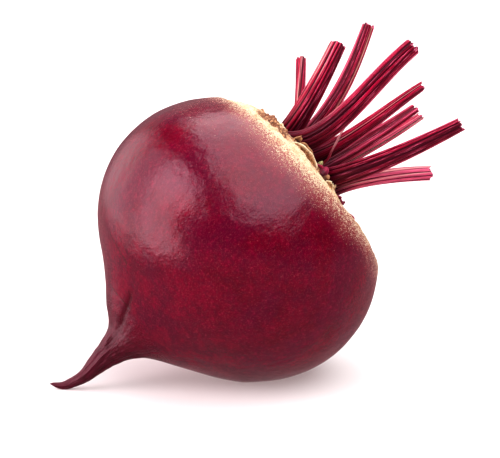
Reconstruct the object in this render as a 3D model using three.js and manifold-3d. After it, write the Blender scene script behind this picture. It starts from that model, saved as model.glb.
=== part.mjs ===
// A beetroot as it is sold: one swollen root with its corky crown and bent taproot, lying on its side,
// and nine leaf stalks cut short above the crown. Millimetres, +Z up, standing surface at z = 0.
// The root has a frame of its own: z runs up its axis to the crown, x to the side that lies uppermost,
// y to the front side. Stalk places are given in that frame.
import * as THREE from "three";
import { mergeVertices } from "three/addons/utils/BufferGeometryUtils.js";
import Module from "manifold-3d";

const wasm = await Module();
wasm.setup();

// How the root lies
const AXIS_RISE = THREE.MathUtils.degToRad(40); // the crown end is tipped up from the surface
const AXIS_AWAY = THREE.MathUtils.degToRad(22); // and turned away from the front
const REST_DEPTH = 0.7; // how far the underside is flattened where it rests

// The root's outline, as [radius, height on the axis], from the crown to the tip of the taproot
const SHOULDER_R = 35.5; // radius of the round shoulder, in the outline
const SHOULDER_OUT = 10.5; // distance of that arc's centre from the axis
const SHOULDER_FROM = 43; // degrees above the widest girth
const SHOULDER_TO = -45;
const SHOULDER_STEP = 8.8;
const CROWN_OUTLINE = [
  [0, 30.2],
  [8, 30.1],
  [15, 29.6],
  [20, 29.1],
  [25, 28.2],
  [28.5, 27.2],
  [31.5, 26.1],
  [34, 25.3],
];
const CROWN_TILT = 2.7; // the crown stands higher on one side, in millimetres at its rim
const CROWN_TILT_TURN = THREE.MathUtils.degToRad(-30);
const TAPROOT_OUTLINE = [
  [31.0, -29.0],
  [26.2, -32.3],
  [20.2, -36.6],
  [14.8, -40.7],
  [10.4, -44.2],
  [7.4, -47.2],
  [5.2, -50.2],
  [3.9, -53.5],
  [3.0, -57.5],
  [2.2, -62],
  [1.6, -66.3],
  [1.1, -69.4],
  [0.5, -71.5],
];
// The taproot's middle line leaves the axis: [height on the axis, towards the upper side, towards the front]
const TAPROOT_LINE = [
  [-30, 0, 0],
  [-38, 0.1, 0],
  [-43, 0.6, -0.2],
  [-46.5, 1.15, -0.4],
  [-50, 1.85, -0.55],
  [-54, 2.35, -0.7],
  [-58, 2.4, -0.8],
  [-62.3, 2.2, -1.2],
  [-66.1, 2.6, -2.6],
  [-69.3, 3.6, -4.1],
  [-71.6, 6.2, -5.7],
];
// Rings thinner than the first radius lie square to the middle line, thicker than the second to the axis
const TAPROOT_BENDS = [3.5, 13];
const ROOT_SIDES = 54;
const ROOT_STEPS_PER_POINT = 2;

// Relief of the root, in millimetres
const LOBES = [
  { count: 2, height: 0.5, turn: -0.72 },
  { count: 3, height: 0.45, turn: 2.84 },
  { count: 5, height: 0.3, turn: 3.69 },
];
// Broad local rises and hollows: turn round the axis, place on it, height, and spread both ways
const SWELLINGS = [
  { turn: 2.8, z: -32.5, height: 2.2, around: 0.8, along: 6.5 },
  { turn: 2.8, z: -46, height: -1.8, around: 0.8, along: 3.8 },
  { turn: -0.5, z: -43, height: 0.9, around: 0.7, along: 6 },
];
const FURROW_DEPTH = 0.8; // two furrows where side roots grew, on opposite sides of the taper
const FURROW_SPREAD = 0.3; // radians
const FURROW_TURN = 0.58;
const CROWN_RING_HEIGHT = 0.35; // the rings of old leaf scars on the crown
const CROWN_RING_PITCH = 5.2;
const CROWN_RING_INNER = 15;
const CROWN_RING_OUTER = 34;

// Leaf stalks: foot on the crown [x, y]; two points that bend the stalk and its cut end [x, y, z];
// width at the foot and at the cut, and how far the channelled inner side is turned, in degrees
const STALKS = [
  {
    foot: [1.3, -11.3],
    bends: [[5.8, -11.7, 38.7], [15.5, -13.8, 47.5]],
    cut: [18.8, -22.1, 54.9],
    widths: [4.8, 3.8],
    turn: 10,
  },
  {
    foot: [11.8, -1.6],
    bends: [[16.6, 6, 38.3], [21.6, 6.6, 50.2]],
    cut: [25, 4.5, 61.2],
    widths: [9, 6],
    turn: -20,
  },
  {
    foot: [5.6, -6.8],
    bends: [[8, 3.2, 44.8], [10.3, -6.2, 60.8]],
    cut: [17.9, -6.8, 75.2],
    widths: [6.6, 4.3],
    turn: 15,
  },
  {
    foot: [14.2, 6.2],
    bends: [[10.3, 22.3, 37], [16.5, 21.3, 58]],
    cut: [17.5, 27.5, 73.7],
    widths: [7.8, 6],
    turn: 30,
  },
  {
    foot: [6.3, 2.3],
    bends: [[2, 11.4, 40.8], [2.9, 13, 56.3]],
    cut: [1.6, 17.4, 70.6],
    widths: [8.3, 3.8],
    turn: 60,
  },
  {
    foot: [-0.1, -0.3],
    bends: [[-5, -0.6, 41.1], [-6.9, 2.7, 55.2]],
    cut: [-9.7, 1.3, 68.5],
    widths: [6, 3.4],
    turn: 40,
  },
  {
    foot: [-3.8, -6.4],
    bends: [[-8.5, -2.3, 42.7], [-13.9, -6, 56.5]],
    cut: [-17.3, -8.3, 70.4],
    widths: [4.6, 3],
    turn: 0,
  },
  {
    foot: [2, 9.9],
    bends: [[1.2, 24.8, 31.2], [-3.2, 33.1, 50.7]],
    cut: [-6.0, 39.4, 67.1],
    widths: [9.8, 5.2],
    turn: 30,
  },
  {
    foot: [-4.7, 8.8],
    bends: [[-5.4, 15.1, 36.5], [-9.9, 23.3, 44.8]],
    cut: [-17.3, 25.7, 53.6],
    widths: [5.8, 4.8],
    turn: -10,
  },
];
const STALK_FLATNESS = 0.84; // depth as a share of the width
const STALK_SIDES = 24; // two points to each rib
const RIB_LOW = 0.86; // a furrow between ribs, as a share of the rib's reach
const CHANNEL = 0.62; // how deep the inner side is hollowed, as a share of half the depth
const CHANNEL_SPREAD = 0.5; // and how wide, as a share of half the width
const FOOT_SUNK = 2.2;
const FOOT_FLARE = 0.12;
const FOOT_FLARE_LENGTH = 0.15;
const STALK_STATIONS = [0, 0.1, 0.2, 0.32, 0.45, 0.6, 0.8, 1];
const GAP = 0.32; // clearance between touching pieces

// Withered leaf bases that stand round the stalks, placed by the angle at which leaves follow each other
const SCALE_COUNT = 16;
const LEAF_TURN = THREE.MathUtils.degToRad(137.5);
const SCALE_RING = 17.5;
const SCALE_RING_STEP = 0.28;

const skin = new THREE.MeshStandardMaterial({ name: "root_skin", color: 0x6e1226, roughness: 0.45 });
const stalkSkin = new THREE.MeshStandardMaterial({ name: "stalk_skin", color: 0x8f0f33, roughness: 0.4 });
skin.metalness = 0;
stalkSkin.metalness = 0;

// A small repeatable random number, 0 to 1, for a whole number
function draw(n) {
  const s = Math.sin(n * 127.1 + 11.7) * 43758.5453;
  return s - Math.floor(s);
}

// Smooth step from 0 at a to 1 at b
const ease = (a, b, x) => THREE.MathUtils.smoothstep((x - a) / (b - a), 0, 1);

function rootOutline() {
  const points = CROWN_OUTLINE.map(([r, z]) => new THREE.Vector2(r, z));
  for (let degrees = SHOULDER_FROM; degrees >= SHOULDER_TO; degrees -= SHOULDER_STEP) {
    const a = THREE.MathUtils.degToRad(degrees);
    points.push(new THREE.Vector2(SHOULDER_OUT + SHOULDER_R * Math.cos(a), SHOULDER_R * Math.sin(a)));
  }
  points.push(...TAPROOT_OUTLINE.map(([r, z]) => new THREE.Vector2(r, z)));
  return new THREE.SplineCurve(points);
}

// Point of the taproot's middle line at a height on the axis
function middleLine(z) {
  const last = TAPROOT_LINE.length - 1;
  if (z >= TAPROOT_LINE[0][0]) return new THREE.Vector3(0, 0, z);
  let i = 1;
  while (i < last && z < TAPROOT_LINE[i][0]) i += 1;
  const step = TAPROOT_LINE[i][0] - TAPROOT_LINE[i - 1][0];
  const t = (z - TAPROOT_LINE[i - 1][0]) / step;
  // The line leaves the globe straight and runs through every point without a kink
  const slope = (k, axis) => {
    if (k === 0) return 0;
    const [before, after] = [TAPROOT_LINE[k - 1], TAPROOT_LINE[Math.min(k + 1, last)]];
    return (after[axis] - before[axis]) / (after[0] - before[0]);
  };
  const curve = (axis) => {
    const from = TAPROOT_LINE[i - 1][axis] * (1 + 2 * t) + slope(i - 1, axis) * step * t;
    const to = TAPROOT_LINE[i][axis] * (3 - 2 * t) - slope(i, axis) * step * (1 - t);
    return from * (1 - t) ** 2 + to * t ** 2;
  };
  return new THREE.Vector3(curve(1), curve(2), z);
}

// How far apart two angles are, 0 to a half turn
function apart(a, b) {
  return Math.abs(THREE.MathUtils.euclideanModulo(a - b + Math.PI, 2 * Math.PI) - Math.PI);
}

const bump = (distance, spread) => Math.exp(-((distance / spread) ** 2));

// How far the surface stands out from the plain outline at an angle round the axis
function rootRelief(angle, r, z) {
  const onGlobe = ease(8, 30, r);
  let out = 0;
  for (const lobe of LOBES) out += lobe.height * Math.cos(lobe.count * angle + lobe.turn) * onGlobe;
  for (const rise of SWELLINGS) {
    out += rise.height * bump(apart(angle, rise.turn), rise.around) * bump(z - rise.z, rise.along);
  }
  const taper = ease(-30, -42, z) * (1 - ease(-60, -68, z));
  for (const side of [0, Math.PI]) {
    const depth = FURROW_DEPTH * Math.min(1, r / 9) * taper;
    out -= depth * bump(apart(angle, FURROW_TURN + side), FURROW_SPREAD);
  }
  return out;
}

// How far the crown is lifted along the axis: its tilt, and the rings of leaf scars
function crownRelief(angle, r, z) {
  if (z < 0) return 0;
  const tilt = CROWN_TILT * ease(0, 22, r) * (1 - ease(27, 37, r)) * Math.cos(angle - CROWN_TILT_TURN);
  const [inner, outer] = [CROWN_RING_INNER, CROWN_RING_OUTER];
  const band = ease(inner - 4, inner, r) * (1 - ease(outer - 3, outer + 3, r));
  const wander = 1.1 * Math.sin(3 * angle + 0.4) + 0.8 * Math.sin(5 * angle + 1.9);
  return tilt + CROWN_RING_HEIGHT * band * Math.sin((2 * Math.PI * (r + wander)) / CROWN_RING_PITCH);
}

function rootPoint(angle, r, z) {
  const centre = middleLine(z);
  const slope = middleLine(z + 0.25).sub(middleLine(z - 0.25)).normalize();
  slope.lerp(new THREE.Vector3(0, 0, 1), ease(...TAPROOT_BENDS, r)).normalize();
  const across = new THREE.Vector3(1, 0, 0).addScaledVector(slope, -slope.x).normalize();
  const along = new THREE.Vector3().crossVectors(slope, across);
  const reach = r + rootRelief(angle, r, z);
  return centre
    .addScaledVector(across, reach * Math.cos(angle))
    .addScaledVector(along, reach * Math.sin(angle))
    .addScaledVector(slope, crownRelief(angle, r, z));
}

const middleOf = (row) => row.reduce((sum, p) => sum.add(p), new THREE.Vector3()).divideScalar(row.length);

// A closed skin over rows of points, from a pole before the first row to a pole after the last
function closedRows(rows, firstPole, lastPole) {
  const sides = rows[0].length;
  const positions = [...rows.flat(), firstPole, lastPole].flatMap((p) => [p.x, p.y, p.z]);
  const first = rows.length * sides;
  const index = [];
  for (let i = 0; i < sides; i += 1) {
    const j = (i + 1) % sides;
    index.push(first, i, j);
    for (let k = 0; k < rows.length - 1; k += 1) {
      const [a, b, c, d] = [k * sides + i, k * sides + j, (k + 1) * sides + j, (k + 1) * sides + i];
      index.push(a, d, b, b, d, c);
    }
    index.push(first + 1, (rows.length - 1) * sides + j, (rows.length - 1) * sides + i);
  }
  const geometry = new THREE.BufferGeometry();
  geometry.setAttribute("position", new THREE.Float32BufferAttribute(positions, 3));
  geometry.setIndex(index);
  return geometry;
}

function solidOf(geometry) {
  const bare = geometry.clone();
  bare.deleteAttribute("normal");
  bare.deleteAttribute("uv");
  const merged = mergeVertices(bare, 1e-4);
  return new wasm.Manifold(
    new wasm.Mesh({
      numProp: 3,
      vertProperties: merged.attributes.position.array,
      triVerts: new Uint32Array(merged.index.array),
    }),
  );
}

function geometryOf(solid) {
  const mesh = solid.getMesh();
  const geometry = new THREE.BufferGeometry();
  geometry.setAttribute("position", new THREE.BufferAttribute(new Float32Array(mesh.vertProperties), 3));
  geometry.setIndex(new THREE.BufferAttribute(new Uint32Array(mesh.triVerts), 1));
  geometry.computeVertexNormals();
  return geometry;
}

// The largest connected body, so that a boolean leaves no loose scrap
const largestOf = (solid) => solid.decompose().reduce((a, b) => (b.volume() > a.volume() ? b : a));

function rootSolid() {
  const outline = rootOutline();
  const steps = (outline.points.length - 1) * ROOT_STEPS_PER_POINT;
  const rows = [];
  for (let k = 1; k <= steps; k += 1) {
    const { x: r, y: z } = outline.getPoint(k / steps);
    rows.push(Array.from({ length: ROOT_SIDES }, (_, i) => rootPoint((2 * Math.PI * i) / ROOT_SIDES, r, z)));
  }
  return solidOf(closedRows(rows, new THREE.Vector3(0, 0, CROWN_OUTLINE[0][1]), middleOf(rows.at(-1))));
}

// Height of the crown's surface above a place [x, y]
function crownHeight(x, y) {
  const [distance, angle] = [Math.hypot(x, y), Math.atan2(y, x)];
  const outline = rootOutline();
  let t = 0;
  while (outline.getPoint(t).x < distance) t += 0.001;
  const z = outline.getPoint(t).y;
  return z + crownRelief(angle, distance, z);
}

function stalkCurve({ foot, bends, cut }) {
  return new THREE.CubicBezierCurve3(
    new THREE.Vector3(...foot, crownHeight(...foot) - FOOT_SUNK),
    new THREE.Vector3(...bends[0]),
    new THREE.Vector3(...bends[1]),
    new THREE.Vector3(...cut),
  );
}

// One ribbed, channelled leaf stalk, grown all round by extra millimetres
function stalkSolid(stalk, extra, until = 1) {
  const curve = stalkCurve(stalk);
  const rows = STALK_STATIONS.filter((t) => t <= until).reverse().map((t) => {
    const centre = curve.getPoint(t);
    const along = curve.getTangent(t);
    const outward = new THREE.Vector3(...stalk.cut).sub(new THREE.Vector3(...stalk.foot, stalk.cut[2]));
    outward.addScaledVector(along, -outward.dot(along)).normalize();
    outward.applyAxisAngle(along, THREE.MathUtils.degToRad(stalk.turn));
    const across = new THREE.Vector3().crossVectors(outward, along);
    const flare = 1 + FOOT_FLARE * bump(t, FOOT_FLARE_LENGTH);
    const width = THREE.MathUtils.lerp(...stalk.widths, t) * flare;
    const [halfWidth, halfDepth] = [width / 2, (width * STALK_FLATNESS) / 2];
    if (t === 0) centre.addScaledVector(along, -extra);
    return Array.from({ length: STALK_SIDES }, (_, i) => {
      const a = (2 * Math.PI * i) / STALK_SIDES;
      const rib = i % 2 ? RIB_LOW : 1;
      const hollow = Math.sin(a) < 0 ? 1 - CHANNEL * bump(Math.cos(a), CHANNEL_SPREAD) : 1;
      return centre
        .clone()
        .addScaledVector(across, (halfWidth * rib + extra) * Math.cos(a))
        .addScaledVector(outward, (halfDepth * rib * hollow + extra) * Math.sin(a));
    });
  });
  return solidOf(closedRows(rows, middleOf(rows[0]), middleOf(rows.at(-1))));
}

// One withered leaf base: a small blunt blade, with its foot sunk in the crown
function scaleSolid(n) {
  const around = n * LEAF_TURN;
  const distance = SCALE_RING + SCALE_RING_STEP * n;
  const [width, height, thick] = [3.5 + 2.5 * draw(n), 1.6 + 2.2 * draw(n + 40), 1.1 + 0.6 * draw(n + 80)];
  const blade = new THREE.CylinderGeometry(0.35, 0.5, height + FOOT_SUNK, 6, 2);
  blade.scale(width, 1, thick);
  blade.rotateX(Math.PI / 2);
  blade.translate(0, 0, (height - FOOT_SUNK) / 2);
  blade.rotateX(-0.25 - 0.5 * draw(n + 120));
  blade.rotateZ(around - Math.PI / 2);
  const [x, y] = [distance * Math.cos(around), distance * Math.sin(around)];
  blade.translate(x, y, crownHeight(x, y));
  return solidOf(blade);
}

// The root's place: lying on its flattened underside, with the middle of that spot at the origin
const beetroot = new THREE.Group();
beetroot.name = "beetroot";
const axis = new THREE.Vector3(
  Math.cos(AXIS_RISE) * Math.cos(AXIS_AWAY),
  Math.cos(AXIS_RISE) * Math.sin(AXIS_AWAY),
  Math.sin(AXIS_RISE),
);
const front = new THREE.Vector3(Math.sin(AXIS_AWAY), -Math.cos(AXIS_AWAY), 0);
const upper = new THREE.Vector3().crossVectors(front, axis);
const lying = new THREE.Group();
lying.quaternion.setFromRotationMatrix(new THREE.Matrix4().makeBasis(upper, front, axis));
lying.position.set(
  -SHOULDER_OUT * Math.sin(AXIS_RISE) * Math.cos(AXIS_AWAY),
  -SHOULDER_OUT * Math.sin(AXIS_RISE) * Math.sin(AXIS_AWAY),
  SHOULDER_OUT * Math.cos(AXIS_RISE) + SHOULDER_R - REST_DEPTH,
);
lying.updateMatrixWorld(true);
beetroot.add(lying);

// What lies below the surface it rests on, in the root's own frame
function floorSolid() {
  const slab = new THREE.BoxGeometry(400, 400, 40);
  slab.translate(0, 0, -20);
  slab.applyMatrix4(lying.matrixWorld.clone().invert());
  return solidOf(slab);
}

let root = rootSolid();
for (let n = 0; n < SCALE_COUNT; n += 1) root = root.add(scaleSolid(n));
const stalks = [];
STALKS.forEach((stalk, i) => {
  root = root.subtract(stalkSolid(stalk, GAP, 0.5));
  let solid = stalkSolid(stalk, 0);
  STALKS.slice(0, i).forEach((other) => {
    solid = solid.subtract(stalkSolid(other, GAP));
  });
  stalks.push(largestOf(solid));
});
root = largestOf(root.subtract(floorSolid()));

const rootMesh = new THREE.Mesh(geometryOf(root), skin);
rootMesh.name = "root";
lying.add(rootMesh);
stalks.forEach((solid, i) => {
  const mesh = new THREE.Mesh(geometryOf(solid), stalkSkin);
  mesh.name = "leaf_stalk_" + (i + 1);
  lying.add(mesh);
});

export default beetroot;
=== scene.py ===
"""Looks of the beetroot: fine skin for the root, ribbed leaf stalks, papery crown, floor, light and camera.

Shapes are worked out in millimetres in the root's own frame (z up its axis to the crown, x to the side
that lies uppermost, y to the front side) and then laid down as the CAD model lies.
"""
import math
import random
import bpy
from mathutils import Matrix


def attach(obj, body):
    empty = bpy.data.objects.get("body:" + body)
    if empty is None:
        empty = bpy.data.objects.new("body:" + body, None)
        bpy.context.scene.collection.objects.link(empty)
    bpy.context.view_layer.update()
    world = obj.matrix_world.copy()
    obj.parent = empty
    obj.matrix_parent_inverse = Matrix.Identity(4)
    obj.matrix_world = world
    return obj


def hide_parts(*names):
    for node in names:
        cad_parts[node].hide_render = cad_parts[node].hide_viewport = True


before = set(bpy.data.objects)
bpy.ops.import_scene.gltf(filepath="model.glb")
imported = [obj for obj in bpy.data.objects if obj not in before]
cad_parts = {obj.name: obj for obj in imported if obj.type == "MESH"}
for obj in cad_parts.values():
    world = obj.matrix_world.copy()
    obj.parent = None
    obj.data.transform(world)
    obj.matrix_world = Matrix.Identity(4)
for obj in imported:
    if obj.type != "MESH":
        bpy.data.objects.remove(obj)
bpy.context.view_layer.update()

from types import SimpleNamespace

import bpy
import numpy as np
from mathutils import Euler, Vector, noise

MM = 0.001
TAU = 2 * math.pi

# How the root lies, as in the CAD model
AXIS_RISE = math.radians(40)
AXIS_AWAY = math.radians(22)
REST_DEPTH = 0.7
SHOULDER_R = 35.5
SHOULDER_OUT = 10.5

# The root's outline [radius, height], as in the CAD model: crown, round shoulder by degrees, taproot
CROWN_OUTLINE = [
    (0, 30.2), (8, 30.1), (15, 29.6), (20, 29.1), (25, 28.2), (28.5, 27.2), (31.5, 26.1), (34, 25.3)]
SHOULDER_FIRST, SHOULDER_LAST, SHOULDER_STEP = 43, -45, 8.8
TAPROOT_OUTLINE = [
    (31.0, -29.0), (26.2, -32.3), (20.2, -36.6), (14.8, -40.7), (10.4, -44.2), (7.4, -47.2), (5.2, -50.2),
    (3.9, -53.5), (3.0, -57.5), (2.2, -62), (1.6, -66.3), (1.1, -69.4), (0.5, -71.5)]
# The middle of the taproot [height, x, y], and the radii between which its rings turn square to that line
TAPROOT_LINE = [
    (-30, 0, 0), (-38, 0.1, 0), (-43, 0.6, -0.2), (-46.5, 1.15, -0.4), (-50, 1.85, -0.55), (-54, 2.35, -0.7),
    (-58, 2.4, -0.8), (-62.3, 2.2, -1.2), (-66.1, 2.6, -2.6), (-69.3, 3.6, -4.1), (-71.6, 6.2, -5.7)]
TAPROOT_BENDS = (3.5, 13)

# The crown's tilt, and the radii between which it begins and ends
CROWN_TILT = 2.7
CROWN_TILT_TURN = math.radians(-30)
TILT_BEGINS, TILT_ENDS = (0, 22), (27, 37)
# Lobes round the root: how many, height, turn; they begin between two radii
LOBES = [(2, 0.5, -0.72), (3, 0.45, 2.84), (5, 0.3, 3.69)]
LOBES_BEGIN = (8, 30)
# Swellings: turn, place on the axis, height, reach round and along the root
SWELLINGS = [(2.8, -32.5, 2.2, 0.8, 6.5), (2.8, -46, -1.8, 0.8, 3.8), (-0.5, -43, 0.9, 0.7, 6)]
# Two furrows down the taper, between these heights and shallower where it is thin
FURROW_DEPTH, FURROW_SPREAD, FURROW_TURN = 0.8, 0.3, 0.58
FURROW_BEGINS, FURROW_ENDS, FURROW_FULL_R = (-30, -42), (-60, -68), 9
CROWN_RING_HEIGHT, CROWN_RING_PITCH, CROWN_RING_INNER, CROWN_RING_OUTER = 0.35, 5.2, 15, 34

# Leaf stalks: foot, two bends, cut end, widths at foot and cut, turn of the channelled side in degrees
STALKS = [
    ((1.3, -11.3), (5.8, -11.7, 38.7), (15.5, -13.8, 47.5), (18.8, -22.1, 54.9), (4.8, 3.8), 10),
    ((11.8, -1.6), (16.6, 6, 38.3), (21.6, 6.6, 50.2), (25, 4.5, 61.2), (9, 6), -20),
    ((5.6, -6.8), (8, 3.2, 44.8), (10.3, -6.2, 60.8), (17.9, -6.8, 75.2), (6.6, 4.3), 15),
    ((14.2, 6.2), (10.3, 22.3, 37), (16.5, 21.3, 58), (17.5, 27.5, 73.7), (7.8, 6), 30),
    ((6.3, 2.3), (2, 11.4, 40.8), (2.9, 13, 56.3), (1.6, 17.4, 70.6), (8.3, 3.8), 60),
    ((-0.1, -0.3), (-5, -0.6, 41.1), (-6.9, 2.7, 55.2), (-9.7, 1.3, 68.5), (6, 3.4), 40),
    ((-3.8, -6.4), (-8.5, -2.3, 42.7), (-13.9, -6, 56.5), (-17.3, -8.3, 70.4), (4.6, 3), 0),
    ((2, 9.9), (1.2, 24.8, 31.2), (-3.2, 33.1, 50.7), (-6.0, 39.4, 67.1), (9.8, 5.2), 30),
    ((-4.7, 8.8), (-5.4, 15.1, 36.5), (-9.9, 23.3, 44.8), (-17.3, 25.7, 53.6), (5.8, 4.8), -10),
]
STALK_FLATNESS = 0.84
RIB_COUNT = 12
CHANNEL, CHANNEL_SPREAD = 0.62, 0.5
FOOT_SUNK, FOOT_FLARE, FOOT_FLARE_LENGTH = 2.2, 0.12, 0.15

# The axes of the root's frame in the row frame
COS_R, SIN_R = math.cos(AXIS_RISE), math.sin(AXIS_RISE)
COS_A, SIN_A = math.cos(AXIS_AWAY), math.sin(AXIS_AWAY)
AXIS = np.array([COS_R * COS_A, COS_R * SIN_A, SIN_R])
FRONT = np.array([SIN_A, -COS_A, 0.0])
UPPER = np.array([-SIN_R * COS_A, -SIN_R * SIN_A, COS_R])
CENTRE = np.array([
    -SHOULDER_OUT * SIN_R * COS_A,
    -SHOULDER_OUT * SIN_R * SIN_A,
    SHOULDER_OUT * COS_R + SHOULDER_R - REST_DEPTH])

# Directions in the root's own frame
X_WAY = np.array([1.0, 0, 0])
Z_WAY = np.array([0, 0, 1.0])


def laid(points):
    """Points of the root's frame in millimetres, as row-frame metres."""
    p = np.asarray(points, float)
    return (CENTRE + p[..., 0:1] * UPPER + p[..., 1:2] * FRONT + p[..., 2:3] * AXIS) * MM


def ease(a, b, x):
    t = np.clip((np.asarray(x, float) - a) / (b - a), 0, 1)
    return t * t * (3 - 2 * t)


def bump(distance, spread):
    return np.exp(-((distance / spread) ** 2))


def apart(a, b):
    return np.abs((a - b + math.pi) % TAU - math.pi)


def unit(vectors):
    """Vectors brought to length one."""
    return vectors / np.linalg.norm(vectors, axis=-1, keepdims=True)


def spline(points, t):
    """Uniform Catmull-Rom through points, t from 0 to 1."""
    p = np.asarray(points, float)
    n = len(p)
    place = np.clip(np.asarray(t, float), 0, 1) * (n - 1)
    i = np.clip(np.floor(place).astype(int), 0, n - 2)
    w = (place - i)[..., None]
    a, b, c, d = p[np.clip(i - 1, 0, n - 1)], p[i], p[i + 1], p[np.clip(i + 2, 0, n - 1)]
    return 0.5 * (2 * b + w * (c - a + w * (2 * a - 5 * b + 4 * c - d + w * (3 * b - a - 3 * c + d))))


def root_outline():
    points = list(CROWN_OUTLINE)
    degrees = SHOULDER_FIRST
    while degrees >= SHOULDER_LAST:
        a = math.radians(degrees)
        points.append((SHOULDER_OUT + SHOULDER_R * math.cos(a), SHOULDER_R * math.sin(a)))
        degrees -= SHOULDER_STEP
    return points + TAPROOT_OUTLINE


OUTLINE = root_outline()
CROWN_SAMPLES = 4000


def middle_line(z):
    """The middle of the root at heights on its axis."""
    z = np.asarray(z, float)
    knots = np.array([k[0] for k in TAPROOT_LINE], float)
    places = np.array([k[1:] for k in TAPROOT_LINE], float)
    slopes = np.gradient(places, axis=0) / np.gradient(knots)[:, None]
    slopes[1:-1] = (places[2:] - places[:-2]) / (knots[2:] - knots[:-2])[:, None]
    slopes[0] = 0
    i = np.clip(np.searchsorted(-knots, -z, side="left"), 1, len(knots) - 1)
    step = knots[i] - knots[i - 1]
    t = ((z - knots[i - 1]) / step)[..., None]
    step = step[..., None]
    xy = (places[i - 1] * (1 + 2 * t) + slopes[i - 1] * step * t) * (1 - t) ** 2
    xy = xy + (places[i] * (3 - 2 * t) - slopes[i] * step * (1 - t)) * t ** 2
    xy = np.where((z < knots[0])[..., None], xy, 0.0)
    return np.concatenate([xy, z[..., None]], -1)


def root_relief(angle, r, z):
    """How far lobes, swellings and furrows stand out from the turned root."""
    out = sum(h * np.cos(n * angle + turn) for n, h, turn in LOBES) * ease(*LOBES_BEGIN, r)
    for turn, place, height, around, along in SWELLINGS:
        out = out + height * bump(apart(angle, turn), around) * bump(z - place, along)
    taper = ease(*FURROW_BEGINS, z) * (1 - ease(*FURROW_ENDS, z))
    depth = FURROW_DEPTH * np.minimum(1, r / FURROW_FULL_R) * taper
    for side in (0, math.pi):
        out = out - depth * bump(apart(angle, FURROW_TURN + side), FURROW_SPREAD)
    return out


def ring_phase(angle, r):
    """Phase of the crown's rings, which wander a little round the axis."""
    wander = 1.1 * np.sin(3 * angle + 0.4) + 0.8 * np.sin(5 * angle + 1.9)
    return TAU * (r + wander) / CROWN_RING_PITCH


def crown_relief(angle, r, z):
    """How far the tilt and the low rings lift the crown."""
    tilt = CROWN_TILT * ease(*TILT_BEGINS, r) * (1 - ease(*TILT_ENDS, r)) * np.cos(angle - CROWN_TILT_TURN)
    inner, outer = CROWN_RING_INNER, CROWN_RING_OUTER
    band = ease(inner - 4, inner, r) * (1 - ease(outer - 3, outer + 3, r))
    rings = CROWN_RING_HEIGHT * band * np.sin(ring_phase(angle, r))
    return np.where(z < 0, 0.0, tilt + rings)


def ring_shade(angle, r, z):
    """How much the furrows between the crown's rings darken, 0 to 1, in broken lengths."""
    furrow = np.clip(-np.sin(ring_phase(angle, r)), 0, 1) ** 2
    broken = np.clip(0.5 + 0.5 * np.sin(4 * angle + 0.9 * r) + 0.4 * np.sin(9 * angle - 0.5 * r), 0, 1)
    return np.where(z < 0, 0.0, furrow * broken * (1 - ease(29, 33, r)))


def root_point(angle, r, z, extra=0.0, lift=0.0):
    """The root's surface; extra stands out across the axis and lift along it."""
    slope = unit(middle_line(z + 0.25) - middle_line(z - 0.25))
    straight = ease(*TAPROOT_BENDS, r)[..., None]
    slope = unit(slope + (Z_WAY - slope) * straight)
    across = unit(X_WAY - slope * slope[..., 0:1])
    out = across * np.cos(angle)[..., None] + np.cross(slope, across) * np.sin(angle)[..., None]
    reach = (r + root_relief(angle, r, z) + extra)[..., None]
    rise = (crown_relief(angle, r, z) + lift)[..., None]
    return middle_line(z) + out * reach + slope * rise


def crown_height(x, y):
    """Height of the crown's surface above a place."""
    distance, angle = math.hypot(x, y), math.atan2(y, x)
    curve = spline(OUTLINE, np.linspace(0, 0.5, CROWN_SAMPLES))
    z = float(curve[np.argmax(curve[:, 0] >= distance), 1])
    return z + float(crown_relief(np.array(angle), np.array(distance), np.array(z)))


# Each octave of the noise is this much finer and lower than the one before
OCTAVE_FINER, OCTAVE_GAIN = 2.03, 0.5


def fractal(points, size, octaves, seed):
    """Smooth repeatable noise at points in millimetres, about -1 to 1."""
    places = points.reshape(-1, 3) / size + seed
    out = np.empty(len(places))
    for k, place in enumerate(places):
        value, gain = 0.0, 1.0
        v = Vector(place)
        for _ in range(octaves):
            value += gain * noise.noise(v)
            v = v * OCTAVE_FINER
            gain *= OCTAVE_GAIN
        out[k] = value
    return out.reshape(points.shape[:-1])


def mesh_object(name, vertices, faces, material):
    mesh = bpy.data.meshes.new(name)
    mesh.from_pydata([tuple(v) for v in vertices], [], faces)
    mesh.update()
    mesh.shade_smooth()
    thing = bpy.data.objects.new(name, mesh)
    bpy.context.scene.collection.objects.link(thing)
    mesh.materials.append(material)
    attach(thing, "root")
    return thing


def attribute(thing, name, values):
    data = thing.data.attributes.new(name, "FLOAT", "POINT")
    data.data.foreach_set("value", np.asarray(values, np.float32))


def vector_attribute(thing, name, values):
    data = thing.data.attributes.new(name, "FLOAT_VECTOR", "POINT")
    data.data.foreach_set("vector", np.asarray(values, np.float32).ravel())


def grid_faces(rows, sides):
    """Quads over rows of points, and fans to the two points after them that close the ends."""
    faces = []
    for k in range(rows - 1):
        for i in range(sides):
            j = (i + 1) % sides
            faces.append((k * sides + i, (k + 1) * sides + i, (k + 1) * sides + j, k * sides + j))
    first, last = rows * sides, rows * sides + 1
    for i in range(sides):
        j = (i + 1) % sides
        faces.append((first, i, j))
        faces.append((last, (rows - 1) * sides + j, (rows - 1) * sides + i))
    return faces


def swept(centre, across, other, x, y):
    """Rings of points round a line: x goes along one way and y along the other."""
    return centre[:, None] + x[..., None] * across[:, None] + y[..., None] * other[:, None]


# Materials

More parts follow.
